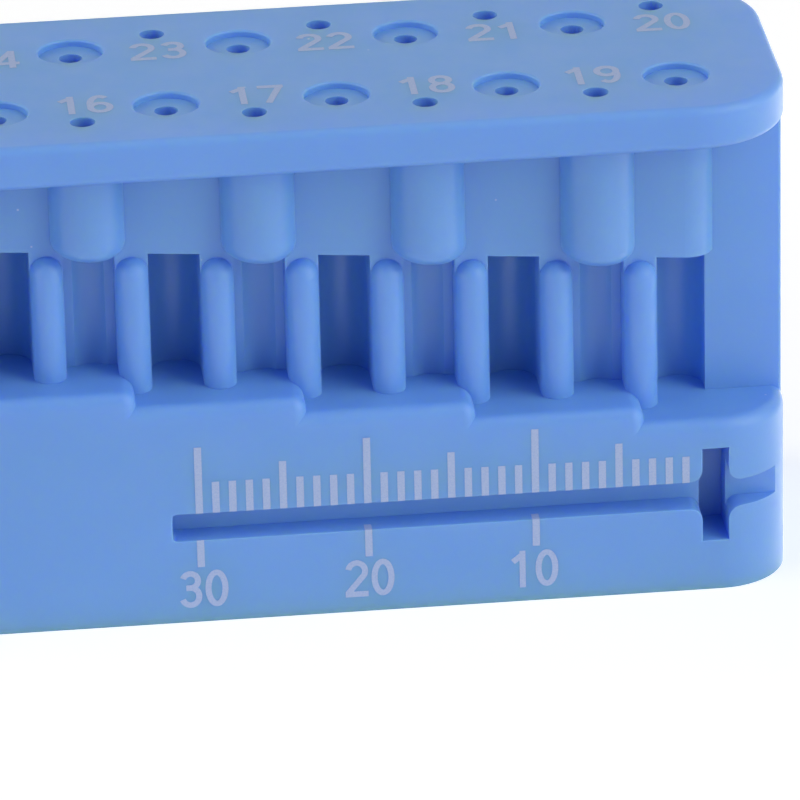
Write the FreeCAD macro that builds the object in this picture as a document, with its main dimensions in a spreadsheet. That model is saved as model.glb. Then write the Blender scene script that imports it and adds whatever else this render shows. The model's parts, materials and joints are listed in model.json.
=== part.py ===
"""Endodontic measuring block: one moulded plastic block, all lengths in millimetres.

A file is pushed tip first into a hole in the top plate until its stop touches the plate.
The tip then stands on a ledge whose depth below the top is the number beside the hole.
Plain holes give whole millimetres, and counterbored holes between them give half ones.
The front side reads up from the left. The back side is the same form turned half round,
and carries on from the front's last reading. The frame has X along the block, Y to the
back and Z up, with its origin at the middle of the underside.
"""
import FreeCAD, Part
import Sketcher
import os

NODE = "measuring_block"

SIZES = (
    ("floor_thickness", 3.0, "underside to the deepest ledge"),
    ("block_width", 20.0, "front face of the base to its back face"),
    ("end_margin", 6.13, "axis of an end hole to the end of the base"),
    ("stations", 8, "whole-millimetre readings on each side"),
    ("pitch", 10.0, "one whole-millimetre hole to the next"),
    ("first_reading", 12.0, "depth read at the front left hole"),
    ("reading_step", 1.0, "rise in reading from station to station"),
    ("plate_thickness", 2.65, "top plate"),
    ("plate_overhang", 0.16, "plate beyond the ends and faces of the base"),
    ("plate_corner_radius", 5.6, "plate corners seen from above"),
    ("plate_top_radius", 0.5, "rounding of the plate's upper edge"),
    ("plate_edge_radius", 0.5, "rounding of the plate's lower edge"),
    ("base_corner_radius", 4.25, "base corners seen from above"),
    ("bottom_edge_radius", 0.05, "rounding all round the underside"),
    ("ledge_edge_radius", 0.75, "rounding of each ledge's outer edges"),
    ("ledge_end_setback", 0.2, "end of a ledge short of the middle of its partition"),
    ("wall_setback", 4.6, "front face of the base to the end wall"),
    ("wall_end_inset", 0.02, "end of the base to the end of the wall"),
    ("wall_edge_radius", 0.2, "upright edges of the wall"),
    ("skirt_setback", 3.25, "front face of the base to the skirt's panel"),
    ("skirt_overrun", 2.08, "skirt beyond the axis of an end hole"),
    ("skirt_end_radius", 1.9, "upright end corners of the skirt"),
    ("skirt_depth", 5.335, "top of the block to the skirt's edge at the first hole"),
    ("skirt_drop", 0.73, "how much lower the skirt's edge is one station on"),
    ("skirt_edge_radius", 0.1, "rounding of the skirt's lower edge"),
    ("column_radius", 2.2, "half-round column about each plain hole"),
    ("column_edge_radius", 0.95, "rounding of a column's lower edge"),
    ("rib_width", 1.95, "partition between two channels"),
    ("channel_width", 3.05, "channel where it is cut into the wall"),
    ("rib_top_gap", 0.2, "rib's domed top below the skirt's edge"),
    ("plain_row_setback", 3.4, "front face to the row of plain holes"),
    ("plain_hole_diameter", 1.5, "hole for a whole-millimetre reading"),
    ("half_row_setback", 5.45, "front face to the row of counterbored holes"),
    ("half_hole_diameter", 1.4, "hole for a half-millimetre reading"),
    ("counterbore_diameter", 3.85, "seat for the stop of a half-millimetre reading"),
    ("counterbore_depth", 0.43, "depth of that seat"),
    ("seat_lip_radius", 0.15, "rounding of the seat's upper edge"),
    ("ruler_zero_setback", 5.42, "right end of the base to the ruler's zero"),
    ("ruler_length", 31.55, "groove from the zero to its closed end"),
    ("groove_height", 1.75, "height of the ruler's groove"),
    ("groove_depth", 1.75, "depth of the groove from the front face"),
    ("groove_middle", 6.2, "underside to the middle of groove and slot"),
    ("groove_end_radius", 0.25, "corners at the groove's closed end"),
    ("slot_width", 1.6, "upright slot at the ruler's zero"),
    ("slot_height", 6.0, "height of that slot"),
    ("slot_depth", 3.5, "depth of that slot"),
    ("slot_corner_radius", 0.75, "corners where groove and slot cross"),
    ("lip_radius", 0.06, "rounding of the groove's and the slot's mouth"),
)

doc = FreeCAD.newDocument("MeasuringBlock")
sheet = doc.addObject("Spreadsheet::Sheet", "D")
sheet.Label = "Sizes"
for row, (alias, value, meaning) in enumerate(SIZES, start=1):
    sheet.set(f"A{row}", meaning)
    sheet.set(f"B{row}", str(value))
    sheet.setAlias(f"B{row}", alias)
doc.recompute()


def size(alias):
    """The sheet's value, for counts and for rounded edges."""
    return float(sheet.get(alias))


# Expressions that several features share. A side is drawn as the front one, with its
# readings rising to the right, so the same words serve both sides.
LENGTH = "((D.stations - 0.5) * D.pitch + 2 * D.end_margin)"
HEIGHT = "(D.floor_thickness + D.first_reading + 2 * D.stations * D.reading_step)"
LEFT_END = f"(-{LENGTH} / 2)"
RIGHT_END = f"({LENGTH} / 2)"
FRONT = "(-D.block_width / 2)"
PLATE_UNDER = f"({HEIGHT} - D.plate_thickness)"
FIRST_HOLE = "((0.5 - D.stations) * D.pitch / 2)"
WALL_FRONT = f"({FRONT} + D.wall_setback)"
PANEL_FRONT = f"({FRONT} + D.skirt_setback)"
RULER_ZERO = f"({RIGHT_END} - D.ruler_zero_setback)"
OVERLAP = "(D.pitch / 2)"

STATIONS = int(size("stations"))
SIDES = ("front", "back")
TOLERANCE = 1e-4


def hole_x(half_pitches):
    """X of a hole, counted in half pitches from the side's first one."""
    return f"({FIRST_HOLE} + {half_pitches} * D.pitch / 2)"


def step_x(half_pitches):
    """X midway between that hole and the next, where a partition stands."""
    return f"({hole_x(half_pitches)} + D.pitch / 4)"


def floor_z(side, station):
    """Height of the ledge that a station's reading is taken from."""
    stations_on = f"({SIDES.index(side)} * D.stations + {station})"
    return f"({HEIGHT} - D.first_reading - {stations_on} * D.reading_step)"


def skirt_z(side, x):
    """Height of the skirt's slanted lower edge at a place along the side."""
    stations_on = f"({SIDES.index(side)} * D.stations + ({x} - {FIRST_HOLE}) / D.pitch)"
    return f"({HEIGHT} - D.skirt_depth - {stations_on} * D.skirt_drop)"


def bind(item, **expressions):
    """Ties an object's own sizes to the sheet."""
    for prop, expression in expressions.items():
        item.setExpression(prop, expression)
    return item


def place(item, x, y, z):
    """Ties an object's place to the sheet."""
    for axis, expression in zip("xyz", (x, y, z)):
        item.setExpression(f"Placement.Base.{axis}", expression)
    return item


def box(name, x, y, z, length, width, height):
    item = bind(doc.addObject("Part::Box", name), Length=length, Width=width, Height=height)
    return place(item, x, y, z)


def rod(name, x, y, z, radius, height):
    item = bind(doc.addObject("Part::Cylinder", name), Radius=radius, Height=height)
    return place(item, x, y, z)


def ball(name, x, y, z, radius):
    return place(bind(doc.addObject("Part::Sphere", name), Radius=radius), x, y, z)


def join(name, shapes):
    item = doc.addObject("Part::MultiFuse", name)
    item.Shapes = shapes
    item.Refine = True
    return item


def subtract(name, base, tool):
    item = doc.addObject("Part::Cut", name)
    item.Base = base
    item.Tool = tool
    item.Refine = True
    return item


def round_edges(name, base, radius, wanted):
    """Rounds the edges of base whose bounding box and middle point suit wanted."""
    doc.recompute()
    amount = size(radius)
    chosen = []
    for index, edge in enumerate(base.Shape.Edges, start=1):
        middle = edge.valueAt((edge.FirstParameter + edge.LastParameter) / 2)
        if wanted(edge.BoundBox, middle):
            chosen.append((index, amount, amount))
    item = doc.addObject("Part::Fillet", name)
    item.Base = base
    item.Edges = chosen
    return item


def same(a, b):
    return abs(a - b) < TOLERANCE


def upright(bounds):
    return same(bounds.XLength, 0) and same(bounds.YLength, 0)


def level(bounds, z):
    return same(bounds.ZMin, z) and same(bounds.ZMax, z)


# Top plate
def make_plate():
    left, near = f"({LEFT_END} - D.plate_overhang)", f"({FRONT} - D.plate_overhang)"
    slab = box("PlateSlab", left, near, PLATE_UNDER, f"({LENGTH} + 2 * D.plate_overhang)",
               "(D.block_width + 2 * D.plate_overhang)", "D.plate_thickness")
    corners = round_edges("PlateCorners", slab, "plate_corner_radius",
                          lambda bounds, middle: upright(bounds))
    under, top = slab.Shape.BoundBox.ZMin, slab.Shape.BoundBox.ZMax
    lower_edge = round_edges("PlateLowerEdge", corners, "plate_edge_radius",
                             lambda bounds, middle: level(bounds, under))
    return round_edges("Plate", lower_edge, "plate_top_radius",
                       lambda bounds, middle: level(bounds, top))


# Wall along the middle of the block, whose ends show beside the channels
def make_wall():
    inset = f"({LEFT_END} + D.wall_end_inset)"
    slab = box("WallSlab", inset, WALL_FRONT, "0", f"({LENGTH} - 2 * D.wall_end_inset)",
               "(D.block_width - 2 * D.wall_setback)", PLATE_UNDER)
    return round_edges("Wall", slab, "wall_edge_radius",
                       lambda bounds, middle: upright(bounds))


# Ledges: each is a block whose free upper edges and right end are rounded. It runs under
# its higher neighbour on the left, so that the rounded end of that one stands on it.
def make_ledge(side, station):
    name = f"{side}_ledge_{station}"
    first = station == 0
    last = station == STATIONS
    left = LEFT_END if first else f"({step_x(2 * station - 2)} - {OVERLAP})"
    right = RIGHT_END if last else f"({step_x(2 * station)} - D.ledge_end_setback)"
    slab = box(f"{name}_slab", left, FRONT, "0", f"({right} - {left})", "(D.block_width / 2)",
               floor_z(side, station))
    doc.recompute()
    bounds = slab.Shape.BoundBox
    near, left_x, right_x, top = bounds.YMin, bounds.XMin, bounds.XMax, bounds.ZMax

    def outer_corner(edge, middle):
        at_end = (first and same(middle.x, left_x)) or (last and same(middle.x, right_x))
        return upright(edge) and same(middle.y, near) and at_end

    def free_edge(edge, middle):
        if upright(edge):
            return not last and same(middle.y, near) and same(middle.x, right_x)
        if not level(edge, top) or same(middle.y, 0):
            return False
        return first or not same(middle.x, left_x)

    solid = slab
    if first or last:
        solid = round_edges(f"{name}_corner", slab, "base_corner_radius", outer_corner)
    return round_edges(name, solid, "ledge_edge_radius", free_edge)


# Space below the skirt's slanted lower edge
def make_underside(side):
    body = doc.addObject("PartDesign::Body", f"{side}_underside")
    sketch = body.newObject("Sketcher::SketchObject", f"{side}_underside_outline")
    plane = next(item for item in body.Origin.OriginFeatures if item.Role == "XZ_Plane")
    sketch.AttachmentSupport = [(plane, "")]
    sketch.MapMode = "FlatFace"
    corners = (
        (LEFT_END, "0"),
        (RIGHT_END, "0"),
        (RIGHT_END, skirt_z(side, RIGHT_END)),
        (LEFT_END, skirt_z(side, LEFT_END)),
    )
    start = size("pitch")
    points = [FreeCAD.Vector(x * start, z * start, 0)
              for x, z in ((-1, 0), (1, 0), (1, 1), (-1, 1))]
    for point, following in zip(points, points[1:] + points[:1]):
        sketch.addGeometry(Part.LineSegment(point, following), False)
    for line in range(len(points)):
        following = (line + 1) % len(points)
        sketch.addConstraint(Sketcher.Constraint("Coincident", line, 2, following, 1))
    for line, ((x, z), point) in enumerate(zip(corners, points)):
        across = sketch.addConstraint(Sketcher.Constraint("DistanceX", -1, 1, line, 1, point.x))
        up = sketch.addConstraint(Sketcher.Constraint("DistanceY", -1, 1, line, 1, point.y))
        sketch.setExpression(f"Constraints[{across}]", x)
        sketch.setExpression(f"Constraints[{up}]", z)
    pad = body.newObject("PartDesign::Pad", f"{side}_underside_pad")
    pad.Profile = sketch
    pad.Midplane = True
    bind(pad, Length="(2 * D.block_width)")
    return body


# Skirt: a panel with rounded ends, and a half-round column about each plain hole
def make_skirt(side, underside):
    reach = "D.skirt_overrun"
    slab = box(f"{side}_panel_slab", f"({FIRST_HOLE} - {reach})", PANEL_FRONT, "0",
               f"((D.stations - 0.5) * D.pitch + 2 * {reach})", f"(-{PANEL_FRONT})", PLATE_UNDER)
    doc.recompute()
    near, under_plate = slab.Shape.BoundBox.YMin, slab.Shape.BoundBox.ZMax
    ends = round_edges(f"{side}_panel_ends", slab, "skirt_end_radius",
                       lambda bounds, middle: upright(bounds) and same(middle.y, near))
    trimmed = subtract(f"{side}_panel_trimmed", ends, underside)
    panel = round_edges(f"{side}_panel", trimmed, "skirt_edge_radius",
                        lambda bounds, middle: not upright(bounds) and not same(middle.y, 0)
                        and not level(bounds, under_plate))
    return [panel] + [make_column(side, station, underside) for station in range(STATIONS)]


def make_column(side, station, underside):
    name = f"{side}_column_{station}"
    post = rod(f"{name}_post", hole_x(2 * station), f"({FRONT} + D.plain_row_setback)", "0",
               "D.column_radius", PLATE_UNDER)
    trimmed = subtract(f"{name}_trimmed", post, underside)
    doc.recompute()
    under_plate = trimmed.Shape.BoundBox.ZMax
    return round_edges(name, trimmed, "column_edge_radius",
                       lambda bounds, middle: not upright(bounds)
                       and not level(bounds, under_plate))


# Partitions between the channels, each with a half-round front and a domed top
def make_partition(side, number):
    name = f"{side}_partition_{number}"
    middle = step_x(number)
    radius = "(D.rib_width / 2)"
    web = box(f"{name}_web", f"({middle} - {radius})", PANEL_FRONT, "0", "D.rib_width",
              f"(-{PANEL_FRONT})", PLATE_UNDER)
    dome = f"({skirt_z(side, middle)} - D.rib_top_gap - {radius})"
    nose = rod(f"{name}_nose", middle, PANEL_FRONT, "0", radius, dome)
    cap = ball(f"{name}_cap", middle, PANEL_FRONT, dome, radius)
    return [web, nose, cap]


# Channels: the half-round space that a hole opens into, cut into the wall
def make_channel(side, half_pitches, row):
    name = f"{side}_channel_{half_pitches}"
    middle = hole_x(half_pitches)
    radius = "(D.channel_width / 2)"
    mouth = box(f"{name}_mouth", f"({middle} - {radius})", FRONT, "0", "D.channel_width", row,
                PLATE_UNDER)
    back = rod(f"{name}_back", middle, f"({FRONT} + {row})", "0", radius, PLATE_UNDER)
    return [mouth, back]


# Holes, from the ledge below them up through the plate
def make_holes(side, station):
    rise = f"({HEIGHT} - {floor_z(side, station)})"
    plain = rod(f"{side}_plain_hole_{station}", hole_x(2 * station),
                f"({FRONT} + D.plain_row_setback)", floor_z(side, station),
                "(D.plain_hole_diameter / 2)", rise)
    half_x = hole_x(2 * station + 1)
    half_y = f"({FRONT} + D.half_row_setback)"
    half_floor = floor_z(side, station + 1)
    half = rod(f"{side}_half_hole_{station}", half_x, half_y, half_floor,
               "(D.half_hole_diameter / 2)", f"({HEIGHT} - {half_floor})")
    seat = rod(f"{side}_seat_{station}", half_x, half_y,
               f"({HEIGHT} - D.counterbore_depth)", "(D.counterbore_diameter / 2)",
               "D.counterbore_depth")
    return [plain, half, seat]


# Ruler: a groove along the front face, crossed by an upright slot at the zero
def make_ruler():
    """The plain cross of groove and slot at the front face, and the shapes to cut."""
    bottom = "(D.groove_middle - D.groove_height / 2)"
    groove = box("GrooveSlab", f"({RULER_ZERO} - D.ruler_length)", FRONT, bottom,
                 "(D.ruler_length + D.ruler_zero_setback)", "D.groove_depth", "D.groove_height")
    slot_bottom = "(D.groove_middle - D.slot_height / 2)"
    crossing = box("SlotMouth", RULER_ZERO, FRONT, slot_bottom, "D.slot_width",
                   "D.groove_depth", "D.slot_height")
    cross = join("RulerCross", [groove, crossing])
    doc.recompute()
    closed_end = groove.Shape.BoundBox.XMin
    slot_sides = (crossing.Shape.BoundBox.XMin, crossing.Shape.BoundBox.XMax)
    groove_edges = (groove.Shape.BoundBox.ZMin, groove.Shape.BoundBox.ZMax)

    def along_y(bounds):
        return same(bounds.XLength, 0) and same(bounds.ZLength, 0)

    def crossing_corner(bounds, middle):
        at_side = any(same(middle.x, x) for x in slot_sides)
        at_edge = any(same(middle.z, z) for z in groove_edges)
        return along_y(bounds) and at_side and at_edge

    rounded = round_edges("RulerCrossRounded", cross, "slot_corner_radius", crossing_corner)
    closed = round_edges("RulerGroove", rounded, "groove_end_radius",
                         lambda bounds, middle: along_y(bounds) and same(middle.x, closed_end))
    slot = box("Slot", RULER_ZERO, FRONT, slot_bottom, "D.slot_width", "D.slot_depth",
               "D.slot_height")
    return cross, [closed, slot]


# The back side is the front one's form turned half round about Z.
def group(side, name, shapes):
    item = join(f"{side}_{name}", shapes)
    if side == "back":
        item.Placement = FreeCAD.Placement(FreeCAD.Vector(), FreeCAD.Rotation(180, 0, 0))
    return item


def make_side(side):
    """The groups of one side: partitions, channels, skirt, ledges and holes."""
    underside = make_underside(side)
    partitions, channels, holes = [], [], []
    for number in range(2 * STATIONS - 1):
        partitions += make_partition(side, number)
    for station in range(STATIONS):
        channels += make_channel(side, 2 * station, "D.plain_row_setback")
        channels += make_channel(side, 2 * station + 1, "D.half_row_setback")
        holes += make_holes(side, station)
    ledges = [make_ledge(side, station) for station in range(STATIONS + 1)]
    return {
        "partitions": group(side, "partitions", partitions),
        "channels": group(side, "channels", channels),
        "skirt": group(side, "skirt", make_skirt(side, underside)),
        "ledges": group(side, "ledges", ledges),
        "holes": group(side, "holes", holes),
    }


# The whole block
sides = [make_side(side) for side in SIDES]
channelled = subtract("ChannelledWall", make_wall(),
                      join("Channels", [side["channels"] for side in sides]))
solid_parts = [channelled, make_plate()]
for side in sides:
    solid_parts += [side["partitions"], side["skirt"], side["ledges"]]
uncut = join("UncutBlock", solid_parts)
cross, ruler = make_ruler()
cuts = join("Cuts", [side["holes"] for side in sides] + ruler)
sharp = subtract("SharpBlock", uncut, cuts)
doc.recompute()
mouth = cross.Shape.BoundBox
underside, top = sharp.Shape.BoundBox.ZMin, sharp.Shape.BoundBox.ZMax
seat_width = size("counterbore_diameter")


def in_mouth(bounds, middle):
    """Edges where the groove and the slot open through the front face."""
    on_face = same(bounds.YMin, mouth.YMin) and same(bounds.YMax, mouth.YMin)
    between = bounds.ZMin > mouth.ZMin - TOLERANCE and bounds.ZMax < mouth.ZMax + TOLERANCE
    return on_face and between and bounds.XMin > mouth.XMin - TOLERANCE


lipped = round_edges("LippedBlock", sharp, "lip_radius", in_mouth)
seated = round_edges("SeatedBlock", lipped, "seat_lip_radius", lambda bounds, middle:
                     level(bounds, top) and same(bounds.XLength, seat_width))
block = round_edges("Block", seated, "bottom_edge_radius",
                    lambda bounds, middle: level(bounds, underside))
block.Label = NODE
doc.recompute()

faults = [item.Name for item in doc.Objects if "Invalid" in item.State or "Error" in item.State]
if faults:
    raise RuntimeError(f"failed features: {faults}")
if block.Shape.isNull() or not block.Shape.isValid() or len(block.Shape.Solids) != 1:
    raise RuntimeError("the block is not one valid solid")

os.makedirs("parts", exist_ok=True)
block.Shape.exportStep(f"parts/{block.Label}.step")
bounds = block.Shape.BoundBox
print(f"{block.Label}: {bounds.XLength:.2f} x {bounds.YLength:.2f} x {bounds.ZLength:.2f} mm, "
      f"volume {block.Shape.Volume / 1000:.2f} cm3, {len(block.Shape.Faces)} faces")
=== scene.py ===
"""Looks of the endodontic measuring block: its plastic, its printed ruler and numbers, and
the studio. Lengths are written in millimetres and turned into metres by MM.
"""
import json
import math

import bmesh
import bpy
from mathutils import Matrix, Vector
from mathutils.geometry import delaunay_2d_cdt


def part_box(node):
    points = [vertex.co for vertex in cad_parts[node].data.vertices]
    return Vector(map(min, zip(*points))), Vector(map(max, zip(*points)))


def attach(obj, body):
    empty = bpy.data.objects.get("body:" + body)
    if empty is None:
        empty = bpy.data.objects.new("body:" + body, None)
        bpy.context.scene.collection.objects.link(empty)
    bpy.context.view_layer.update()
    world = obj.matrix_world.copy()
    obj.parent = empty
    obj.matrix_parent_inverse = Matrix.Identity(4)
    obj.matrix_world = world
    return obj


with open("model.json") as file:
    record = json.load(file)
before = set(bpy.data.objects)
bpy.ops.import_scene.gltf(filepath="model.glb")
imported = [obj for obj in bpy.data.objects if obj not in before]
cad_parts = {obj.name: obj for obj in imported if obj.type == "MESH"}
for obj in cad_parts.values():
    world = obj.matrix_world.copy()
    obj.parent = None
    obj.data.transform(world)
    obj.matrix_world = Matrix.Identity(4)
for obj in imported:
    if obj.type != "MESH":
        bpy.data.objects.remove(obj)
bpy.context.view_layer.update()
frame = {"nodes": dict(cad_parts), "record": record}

MM = 0.001
BLOCK = frame["nodes"]["measuring_block"]
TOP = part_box("measuring_block")[1].z / MM

# Ruler on the front face. Its marks run from the zero towards -X, above a groove, and every
# tenth also below it.
FRONT = -10.0
RULER_ZERO = 38.215
RULER_STEP = 0.998
RULER_LENGTH = 30
MARK_WIDTH = 0.44
# Heights of the tops at the zero, of each tenth mark, each fifth and the others. The print
# lies a little askew, so they climb from mark to mark, until CLIMB_END.
MARK_TOPS = {10: 11.07, 5: 9.86, 1: 8.79}
MARK_CLIMB = 0.0125
CLIMB_END = 24
LOWER_MARK_FOOT = 3.6

# The groove's lower and upper edge, and its rounded lips. Ink ends part of the way round a
# lip, but at some marks it runs on over the groove's floor, this far.
GROOVE = (5.325, 7.075)
LIP_RADIUS = 0.06
LIP_TURN = 70
LIP_WHOLE_TURN = 90
LIP_STEPS = 6
INK_ON_FLOOR = {10: 0.7, 20: 0.7}

# Numbers under the ruler, with the shift of each across and up
LABEL_HEIGHT = 2.41
LABEL_MIDDLE = 2.17
LABEL_SHIFTS = {10: (-0.17, -0.05), 20: (0.01, 0.02), 30: (0.10, 0)}
LABEL_DIGIT_STEP = 0.65

# Numbers on the plate, beside the holes of the whole readings, whose row the frame gives
HOLE_ROW = next(mount for mount in frame["record"]["mounts"]
                if mount["name"] == "front_whole_readings")
STATIONS = HOLE_ROW["dims"]["count"]
PITCH = HOLE_ROW["dims"]["spacing_x_mm"]
FIRST_HOLE = HOLE_ROW["pos_m"][0] / MM
FIRST_READING = 12
NUMBER_HEIGHT = 2.7
NUMBER_DIGIT_STEP = 0.67
NUMBER_SHIFT = 0.25
NUMBER_SHIFTS = {16: 0.27, 17: 0.33, 18: 0.31, 19: 0.12,
                 20: 0.32, 21: 0.25, 22: 0.1, 23: 0.15}
NUMBER_ROWS = {"front": -3.95, "back": 3.85}

INK_THICKNESS = 0.012

# Camera as it stood for the photograph
CAMERA_PLACE = (-18.39, -415.79, 197.877)
CAMERA_YAW = 5.446
CAMERA_PITCH = 24.323
CAMERA_ROLL = 1.298
CAMERA_LENS = 342.7
CAMERA_SENSOR = 36.0
CAMERA_CLIP = (0.01, 20.0)

# Studio: the world's own light and the white that it shows, a floor, and square softboxes
# by azimuth and elevation in degrees, side in metres and power in watts
WORLD_LIGHT = 0.04
WORLD_SHOWN = 1.0
WORLD_SEEN = {"Is Camera Ray": 1.0, "Is Glossy Ray": 0.9, "Is Transmission Ray": 1.0}
FLOOR_GLOW = {"Is Camera Ray": 0.4, "Is Glossy Ray": 1.8, "Is Transmission Ray": 1.8}
FLOOR_COLOUR = (0.9, 0.9, 0.9)
FLOOR_REACH = 6.0
SOFTBOX_DISTANCE = 1.1
SOFTBOX_TARGET = Vector((0, 0, 0.02))
SOFTBOXES = (
    ("left_side_softbox", -100, 25, 0.7, 4.7),
    ("left_low_softbox", -60, 15, 0.7, 2.7),
    ("left_high_softbox", -60, 50, 0.7, 0.5),
    ("right_front_softbox", 30, 20, 0.7, 1.3),
    ("right_low_softbox", 60, 15, 0.7, 4.5),
    ("right_high_softbox", 60, 50, 0.7, 4.2),
    ("overhead_softbox", 0, 88, 0.35, 0.9),
)

# A digit is a few strokes in a cell of height 1. A stroke is a line through its points, or
# an arc of an ellipse: middle, radii, and the angles where it starts and ends.
STROKE = 0.15
DIGIT_WIDTH = 0.57
EDGE = STROKE / 2
MIDDLE = DIGIT_WIDTH / 2
REACH = MIDDLE - EDGE
WAIST = 0.54
TOP_LOBE = (MIDDLE, (1 - EDGE + WAIST) / 2), (REACH * 0.9, (1 - EDGE - WAIST) / 2)
LOW_LOBE = (MIDDLE, (EDGE + WAIST) / 2), (REACH, (WAIST - EDGE) / 2)
WHOLE = (MIDDLE, 0.5), (REACH, 0.5 - EDGE)
ARC_STEP = 9
SAME_PLACE = 1e-6


def arc(lobe, start, end):
    """Points of an arc, at most about ARC_STEP degrees apart."""
    (x, y), (rx, ry) = lobe
    count = max(2, round(abs(end - start) / ARC_STEP))
    angles = [math.radians(start + (end - start) * i / count) for i in range(count + 1)]
    return [(x + rx * math.cos(a), y + ry * math.sin(a)) for a in angles]


def turned(strokes):
    """The strokes turned half round in their cell, as a 6 is to make a 9."""
    return [[(DIGIT_WIDTH - x, 1 - y) for x, y in stroke] for stroke in strokes]


SIX = [arc(LOW_LOBE, 0, 360), arc(WHOLE, 50, 195)]
TWO_TOP = (MIDDLE, 0.70), (REACH, 0.225)
DIGITS = {
    "0": [arc(WHOLE, 0, 360)],
    "1": [[(0.33, 0), (0.33, 1)], [(0.34, 0.90), (0.09, 0.71)]],
    "2": [arc(TWO_TOP, 168, -32) + [(0.06, 0.10)], [(0, EDGE), (DIGIT_WIDTH, EDGE)]],
    "3": [arc(TOP_LOBE, 160, -90), arc(LOW_LOBE, 90, -160), [(0.18, WAIST), (MIDDLE, WAIST)]],
    "4": [[(0.41, 0), (0.41, 1)], [(0.40, 0.96), (0.05, 0.28)], [(0, 0.27), (DIGIT_WIDTH, 0.27)]],
    "5": [[(0.09, 1 - EDGE), (0.53, 1 - EDGE)], [(0.15, 0.95), (0.10, 0.47)],
          arc(LOW_LOBE, 140, -160)],
    "6": SIX,
    "7": [[(0, 1 - EDGE), (DIGIT_WIDTH, 1 - EDGE)], [(0.49, 0.93), (0.19, 0)]],
    "8": [arc(TOP_LOBE, 0, 360), arc(LOW_LOBE, 0, 360)],
    "9": turned(SIX),
}


def ribbon(points, width):
    """Outline pieces, each of four corners, that give a stroke its width."""
    points = [Vector(p) for p in points]
    closed = (points[0] - points[-1]).length < SAME_PLACE
    sides = []
    for i, point in enumerate(points):
        before = points[i - 1] if i else points[-2] if closed else point
        after = points[i + 1] if i + 1 < len(points) else points[1] if closed else point
        along = (after - before).normalized()
        across = Vector((-along.y, along.x)) * width / 2
        sides.append((point + across, point - across))
    return [[a[0], a[1], b[1], b[0]] for a, b in zip(sides, sides[1:])]


def number_outlines(number, middle, foot, height, step):
    """Outline pieces of a number, centred on middle and standing on foot."""
    text = str(number)
    left = middle - (step * (len(text) - 1) + DIGIT_WIDTH) * height / 2
    outlines = []
    for place, digit in enumerate(text):
        start = Vector((left + place * step * height, foot))
        for stroke in DIGITS[digit]:
            outlines += [[start + corner * height for corner in piece]
                         for piece in ribbon(stroke, STROKE)]
    return outlines


def ink_piece(name, mesh, placement, material):
    """A piece of ink from a mesh in millimetres, which placement brings onto the block."""
    bmesh.ops.recalc_face_normals(mesh, faces=mesh.faces)
    data = bpy.data.meshes.new(name)
    mesh.to_mesh(data)
    mesh.free()
    data.transform(Matrix.Scale(MM, 4) @ placement)
    data.materials.append(material)
    piece = bpy.data.objects.new(name, data)
    bpy.context.collection.objects.link(piece)
    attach(piece, "root")


# Kind of triangulation that fills the convex hull, and how near points are taken as one
WHOLE_HULL = 0
MERGE_DISTANCE = 1e-5


def flat_ink(groups):
    """Closed, very thin patches: the outlines of each group are joined into one."""
    mesh = bmesh.new()
    for outlines in groups:
        corners = [corner for piece in outlines for corner in piece]
        faces, first = [], 0
        for piece in outlines:
            faces.append(list(range(first, first + len(piece))))
            first += len(piece)
        points, _, triangles, _, _, covered = delaunay_2d_cdt(corners, [], faces, WHOLE_HULL,
                                                              MERGE_DISTANCE)
        made = [mesh.verts.new((p.x, p.y, 0)) for p in points]
        patch = [mesh.faces.new([made[i] for i in triangle])
                 for triangle, pieces in zip(triangles, covered) if pieces]
        for vertex in [v for v in made if not v.link_faces]:
            mesh.verts.remove(vertex)
        raised = bmesh.ops.extrude_face_region(mesh, geom=patch, use_keep_orig=True)
        lifted = [item for item in raised["geom"] if isinstance(item, bmesh.types.BMVert)]
        bmesh.ops.translate(mesh, verts=lifted, vec=(0, 0, INK_THICKNESS))
    return mesh


def lip_profile(far_z, lip_z, floor_reach):
    """Points (y, z) with outward directions, down the face and round a lip of the groove."""
    upwards = 1 if lip_z > far_z else -1
    centre_y, centre_z = FRONT + LIP_RADIUS, lip_z - upwards * LIP_RADIUS
    turn = LIP_WHOLE_TURN if floor_reach else LIP_TURN
    profile = [((FRONT, far_z), (-1, 0))]
    for step in range(LIP_STEPS + 1):
        angle = math.radians(turn * step / LIP_STEPS)
        out = (-math.cos(angle), upwards * math.sin(angle))
        profile.append(((centre_y + LIP_RADIUS * out[0], centre_z + LIP_RADIUS * out[1]), out))
    if floor_reach:
        profile.append(((centre_y + floor_reach, lip_z), (0, upwards)))
    return profile


def wrapped_bar(mesh, x, profile):
    """A closed bar of ink that lies along a profile."""
    left, right = x - MARK_WIDTH / 2, x + MARK_WIDTH / 2
    corners = ((left, 0), (right, 0), (right, INK_THICKNESS), (left, INK_THICKNESS))
    rings = [[mesh.verts.new((across, y + out_y * rise, z + out_z * rise))
              for across, rise in corners]
             for (y, z), (out_y, out_z) in profile]
    for ring, following in zip(rings, rings[1:]):
        for i in range(4):
            j = (i + 1) % 4
            mesh.faces.new((ring[i], ring[j], following[j], following[i]))
    mesh.faces.new(rings[0])
    mesh.faces.new(rings[-1])


def ruler_ink():
    """The marks of the ruler, as bars that end on the groove's lips."""
    mesh = bmesh.new()
    for mark in range(1, RULER_LENGTH + 1):
        top = next(MARK_TOPS[step] for step in MARK_TOPS if mark % step == 0)
        top += MARK_CLIMB * min(mark, CLIMB_END)
        x = RULER_ZERO - mark * RULER_STEP
        wrapped_bar(mesh, x, lip_profile(top, GROOVE[1], 0))
        if mark in LABEL_SHIFTS:
            reach = INK_ON_FLOOR.get(mark, 0)
            wrapped_bar(mesh, x, lip_profile(LOWER_MARK_FOOT, GROOVE[0], reach))
    return mesh


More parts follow.
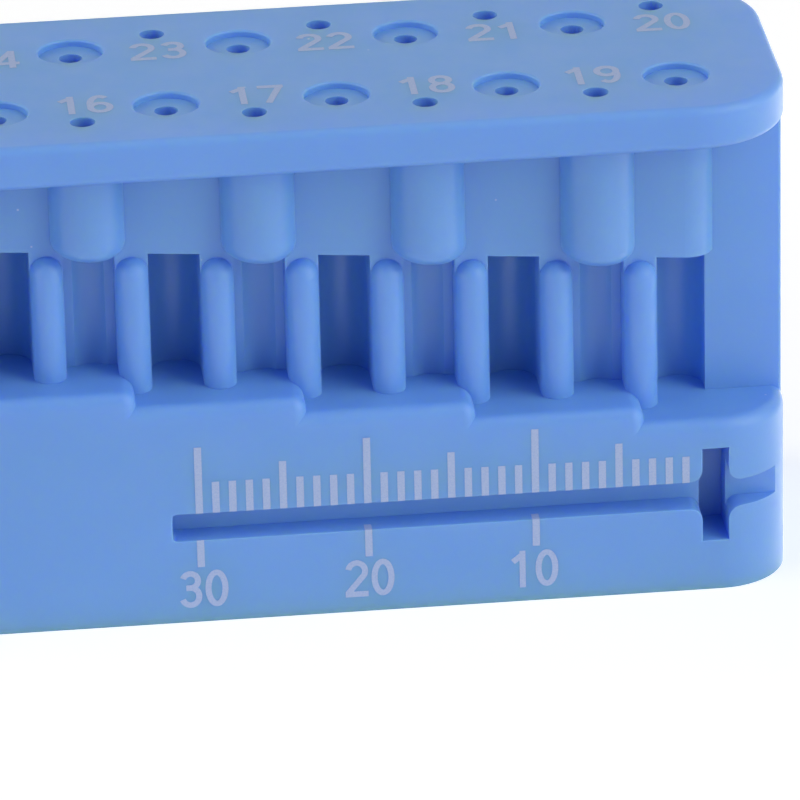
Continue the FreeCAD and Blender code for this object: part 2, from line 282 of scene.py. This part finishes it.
def label_groups():
    """The numbers under the ruler."""
    foot = LABEL_MIDDLE - LABEL_HEIGHT / 2
    return [number_outlines(mark, RULER_ZERO - mark * RULER_STEP + across, foot + up,
                            LABEL_HEIGHT, LABEL_DIGIT_STEP)
            for mark, (across, up) in LABEL_SHIFTS.items()]


def reading_groups(side):
    """The numbers of one side. The back side's run the other way, but read the same way up."""
    way = 1 if side == "front" else -1
    first = FIRST_READING if side == "front" else FIRST_READING + STATIONS
    foot = NUMBER_ROWS[side] - NUMBER_HEIGHT / 2
    groups = []
    for station in range(STATIONS):
        reading = first + station
        hole = way * (FIRST_HOLE + station * PITCH)
        middle = hole + NUMBER_SHIFTS.get(reading, NUMBER_SHIFT)
        groups.append(number_outlines(reading, middle, foot, NUMBER_HEIGHT, NUMBER_DIGIT_STEP))
    return groups


class Nodes:
    """A node tree with short ways to add and link nodes."""

    def __init__(self, name):
        self.material = bpy.data.materials.new(name)
        self.material.use_nodes = True
        self.tree = self.material.node_tree
        self.tree.nodes.clear()
        self.output = self.add("ShaderNodeOutputMaterial")

    def add(self, kind, **settings):
        node = self.tree.nodes.new(kind)
        for key, value in settings.items():
            setattr(node, key, value)
        return node

    def link(self, source, target):
        self.tree.links.new(source, target)

    def millimetres(self):
        """Coordinates of the object in millimetres."""
        place = self.add("ShaderNodeTexCoord")
        scale = self.add("ShaderNodeMapping")
        scale.inputs["Scale"].default_value = (1 / MM,) * 3
        self.link(place.outputs["Object"], scale.inputs["Vector"])
        return scale.outputs["Vector"]

    def noise(self, vector, scale, detail=3.0, roughness=0.5):
        """Noise from 0 to 1, about one blotch to a cell."""
        node = self.add("ShaderNodeTexNoise")
        node.inputs["Scale"].default_value = scale
        node.inputs["Detail"].default_value = detail
        node.inputs["Roughness"].default_value = roughness
        self.link(vector, node.inputs["Vector"])
        return node.outputs["Fac"]

    def span(self, value, low, high, to_low=0.0, to_high=1.0):
        """Brings the span from low to high onto another one, and holds both ends."""
        node = self.add("ShaderNodeMapRange")
        for key, number in zip(("From Min", "From Max", "To Min", "To Max"),
                               (low, high, to_low, to_high)):
            node.inputs[key].default_value = number
        self.link(value, node.inputs["Value"])
        return node.outputs["Result"]

    def blend(self, factor, first, second):
        """Mixes two colours; each is a value or a socket."""
        node = self.add("ShaderNodeMix", data_type="RGBA")
        self.link(factor, node.inputs["Factor"])
        for key, colour in zip(("A", "B"), (first, second)):
            socket = next(s for s in node.inputs if s.name == key and s.type == "RGBA")
            if isinstance(colour, tuple):
                socket.default_value = (*colour, 1)
            else:
                self.link(colour, socket)
        return next(s for s in node.outputs if s.type == "RGBA")

    def bump(self, height, distance, normal=None):
        """The normal over a height from 0 to 1, which stands for a distance in millimetres."""
        node = self.add("ShaderNodeBump")
        node.inputs["Distance"].default_value = distance * MM
        self.link(height, node.inputs["Height"])
        if normal:
            self.link(normal, node.inputs["Normal"])
        return node.outputs["Normal"]

    def math(self, operation, first, second):
        """One step of arithmetic on two inputs, each a number or a socket."""
        node = self.add("ShaderNodeMath", operation=operation)
        for socket, value in zip(node.inputs, (first, second)):
            if isinstance(value, (int, float)):
                socket.default_value = value
            else:
                self.link(value, socket)
        return node.outputs[0]


# Plastic. Scales are cells a millimetre, heights are millimetres, and light that enters
# spreads by SCATTER_REACH millimetres in red, green and blue.
BLUE = (0.155, 0.362, 0.780)
BLUE_LIGHT = (0.163, 0.374, 0.795)
CLOUD_SCALE = 0.09
DUST = (0.45, 0.55, 0.85)
DUST_SCALE = 0.45
DUST_RADII = (0.045, 0.02)
DUST_THRESHOLD = 0.72
SMUDGE_SCALE = 0.5
PLASTIC_ROUGHNESS = (0.36, 0.46)
GRAIN_SCALE, GRAIN_HEIGHT = 5.0, 0.006
WAVE_SCALE, WAVE_HEIGHT = 0.25, 0.03
PLASTIC_IOR = 1.49
PLASTIC_SHEEN = 0.4
SCATTER_SHARE = 0.7
SCATTER_REACH = (0.6, 0.5, 5.0)


def block_plastic():
    """Satin blue plastic that lets a little light in, with faint clouds, grain and dust."""
    nodes = Nodes("block_plastic")
    place = nodes.millimetres()
    clouds = nodes.span(nodes.noise(place, CLOUD_SCALE, 2.0), 0.35, 0.65)
    colour = nodes.blend(clouds, BLUE, BLUE_LIGHT)
    cells = nodes.add("ShaderNodeTexVoronoi")
    cells.inputs["Scale"].default_value = DUST_SCALE
    nodes.link(place, cells.inputs["Vector"])
    # The distance from a cell's point counts in cells, as the radii do
    near = nodes.span(cells.outputs["Distance"], *DUST_RADII)
    picked = nodes.math("GREATER_THAN", cells.outputs["Color"], DUST_THRESHOLD)
    specks = nodes.math("MULTIPLY", near, picked)
    colour = nodes.blend(specks, colour, DUST)
    shader = nodes.add("ShaderNodeBsdfPrincipled")
    nodes.link(colour, shader.inputs["Base Color"])
    smudges = nodes.noise(place, SMUDGE_SCALE, 4.0)
    nodes.link(nodes.span(smudges, 0.3, 0.7, *PLASTIC_ROUGHNESS), shader.inputs["Roughness"])
    grain = nodes.bump(nodes.noise(place, GRAIN_SCALE, 3.0, 0.6), GRAIN_HEIGHT)
    waves = nodes.bump(nodes.noise(place, WAVE_SCALE, 1.0), WAVE_HEIGHT, grain)
    nodes.link(waves, shader.inputs["Normal"])
    shader.inputs["IOR"].default_value = PLASTIC_IOR
    shader.inputs["Specular IOR Level"].default_value = PLASTIC_SHEEN
    shader.inputs["Subsurface Weight"].default_value = SCATTER_SHARE
    shader.inputs["Subsurface Radius"].default_value = SCATTER_REACH
    shader.inputs["Subsurface Scale"].default_value = MM
    nodes.link(shader.outputs[0], nodes.output.inputs["Surface"])
    return nodes.material


# Ink, in the same units
INK = (0.414, 0.50, 0.725)
INK_WORN = (0.303, 0.413, 0.70)
MOTTLE_SCALE = 9.0
INK_ROUGHNESS = (0.55, 0.7)
INK_GRAIN_SCALE, INK_GRAIN_HEIGHT = 12.0, 0.004


def mark_ink():
    """Matt light grey ink, a little mottled where it lies thin."""
    nodes = Nodes("mark_ink")
    place = nodes.millimetres()
    mottle = nodes.span(nodes.noise(place, MOTTLE_SCALE, 3.0, 0.7), 0.35, 0.75)
    shader = nodes.add("ShaderNodeBsdfPrincipled")
    nodes.link(nodes.blend(mottle, INK, INK_WORN), shader.inputs["Base Color"])
    nodes.link(nodes.span(mottle, 0, 1, *INK_ROUGHNESS), shader.inputs["Roughness"])
    grain = nodes.bump(nodes.noise(place, INK_GRAIN_SCALE, 2.0), INK_GRAIN_HEIGHT)
    nodes.link(grain, shader.inputs["Normal"])
    nodes.link(shader.outputs[0], nodes.output.inputs["Surface"])
    return nodes.material


def weighted_paths(tree, weights):
    """The sum of some light paths' factors, each times its weight."""
    path = tree.nodes.new("ShaderNodeLightPath")
    total = None
    for kind, weight in weights.items():
        part = tree.nodes.new("ShaderNodeMath")
        part.operation = "MULTIPLY_ADD"
        tree.links.new(path.outputs[kind], part.inputs[0])
        part.inputs[1].default_value = weight
        part.inputs[2].default_value = 0
        if total:
            tree.links.new(total, part.inputs[2])
        total = part.outputs[0]
    return total


def make_world():
    """Even white light from all round, and near white for rays that show it."""
    world = bpy.data.worlds.new("studio")
    bpy.context.scene.world = world
    world.use_nodes = True
    tree = world.node_tree
    tree.nodes.clear()
    mix = tree.nodes.new("ShaderNodeMixShader")
    tree.links.new(weighted_paths(tree, WORLD_SEEN), mix.inputs[0])
    for socket, strength in zip(mix.inputs[1:], (WORLD_LIGHT, WORLD_SHOWN)):
        light = tree.nodes.new("ShaderNodeBackground")
        light.inputs["Color"].default_value = (1, 1, 1, 1)
        light.inputs["Strength"].default_value = strength
        tree.links.new(light.outputs[0], socket)
    output = tree.nodes.new("ShaderNodeOutputWorld")
    tree.links.new(mix.outputs[0], output.inputs["Surface"])


def make_floor():
    """A pale floor whose own glow, for rays that show it, lifts it to white but for shadow."""
    mesh = bmesh.new()
    bmesh.ops.create_grid(mesh, x_segments=1, y_segments=1, size=FLOOR_REACH)
    data = bpy.data.meshes.new("floor")
    mesh.to_mesh(data)
    mesh.free()
    floor = bpy.data.objects.new("floor", data)
    bpy.context.collection.objects.link(floor)
    nodes = Nodes("floor_white")
    diffuse = nodes.add("ShaderNodeBsdfDiffuse")
    diffuse.inputs["Color"].default_value = (*FLOOR_COLOUR, 1)
    glow = nodes.add("ShaderNodeEmission")
    nodes.link(weighted_paths(nodes.tree, FLOOR_GLOW), glow.inputs["Strength"])
    both = nodes.add("ShaderNodeAddShader")
    nodes.link(diffuse.outputs[0], both.inputs[0])
    nodes.link(glow.outputs[0], both.inputs[1])
    nodes.link(both.outputs[0], nodes.output.inputs["Surface"])
    data.materials.append(nodes.material)


def make_softbox(name, azimuth, elevation, size, power):
    """A square soft light that faces the block. Azimuth is from the front towards +X."""
    data = bpy.data.lights.new(name, "AREA")
    data.size = size
    data.energy = power
    lamp = bpy.data.objects.new(name, data)
    side, rise = math.radians(azimuth), math.radians(elevation)
    away = Vector((math.sin(side) * math.cos(rise), -math.cos(side) * math.cos(rise),
                   math.sin(rise)))
    lamp.location = SOFTBOX_TARGET + away * SOFTBOX_DISTANCE
    lamp.rotation_euler = away.to_track_quat("Z", "Y").to_euler()
    bpy.context.collection.objects.link(lamp)


def make_camera():
    """The camera, turned by yaw about the vertical, then by pitch, then by roll."""
    data = bpy.data.cameras.new("photo_camera")
    data.lens = CAMERA_LENS
    data.sensor_width = CAMERA_SENSOR
    data.clip_start, data.clip_end = CAMERA_CLIP
    camera = bpy.data.objects.new("photo_camera", data)
    turn = (Matrix.Rotation(math.radians(-CAMERA_YAW), 4, "Z")
            @ Matrix.Rotation(math.radians(90 - CAMERA_PITCH), 4, "X")
            @ Matrix.Rotation(math.radians(-CAMERA_ROLL), 4, "Z"))
    camera.matrix_world = Matrix.Translation(Vector(CAMERA_PLACE) * MM) @ turn
    bpy.context.collection.objects.link(camera)
    bpy.context.scene.camera = camera


BLOCK.data.materials[0] = block_plastic()
ink = mark_ink()
# X along the block and Y up the front face, as its drawing has them
ON_FRONT = Matrix.Translation((0, FRONT, 0)) @ Matrix.Rotation(math.radians(90), 4, "X")
ON_TOP = Matrix.Translation((0, 0, TOP))
ink_piece("ruler_marks", ruler_ink(), Matrix(), ink)
ink_piece("ruler_labels", flat_ink(label_groups()), ON_FRONT, ink)
for side in NUMBER_ROWS:
    ink_piece(f"readings_{side}", flat_ink(reading_groups(side)), ON_TOP, ink)

make_camera()
make_world()
make_floor()
for softbox in SOFTBOXES:
    make_softbox(*softbox)
bpy.context.scene.view_settings.view_transform = "Standard"
